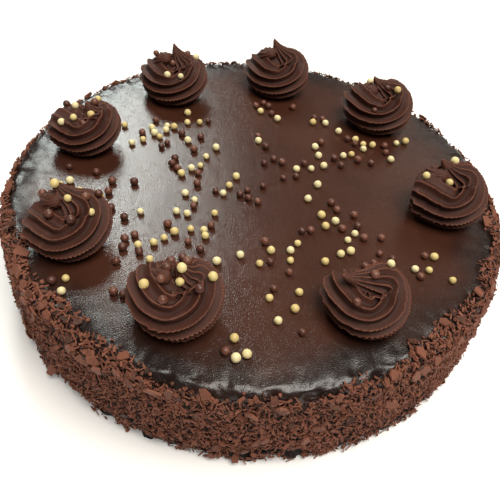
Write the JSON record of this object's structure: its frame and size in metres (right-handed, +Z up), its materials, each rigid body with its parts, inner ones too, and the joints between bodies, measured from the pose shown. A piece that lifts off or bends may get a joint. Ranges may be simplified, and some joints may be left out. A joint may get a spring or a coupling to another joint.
{
  "type": "glazed chocolate layer cake",
  "caption": "Whole round chocolate cake with glazed top, shaved chocolate round its side, a ring of piped cream rosettes and scattered chocolate pearls.",
  "frame": {"origin": "middle of the flat underside of the cake", "axes": "+Z up from the underside to the rosettes, -Y to the front of the cake as the picture shows it, +X to the right"},
  "size_m": [0.2674, 0.2681, 0.0844],
  "materials": {
    "shaved_chocolate": "matte brown shavings of milk and dark chocolate, dense and crumbly",
    "chocolate_glaze": "dark chocolate glaze, smooth and glossy on top, with pale and brown chocolate pearls on it",
    "chocolate_cream": "satin dark chocolate cream piped through a star nozzle"
  },
  "bodies": {
    "root": {"cake_body": "shaved_chocolate", "chocolate_glaze": "chocolate_glaze", "rosette_1": "chocolate_cream", "rosette_2": "chocolate_cream", "rosette_3": "chocolate_cream", "rosette_4": "chocolate_cream", "rosette_5": "chocolate_cream", "rosette_6": "chocolate_cream", "rosette_7": "chocolate_cream", "rosette_8": "chocolate_cream"}
  },
  "joints": []
}
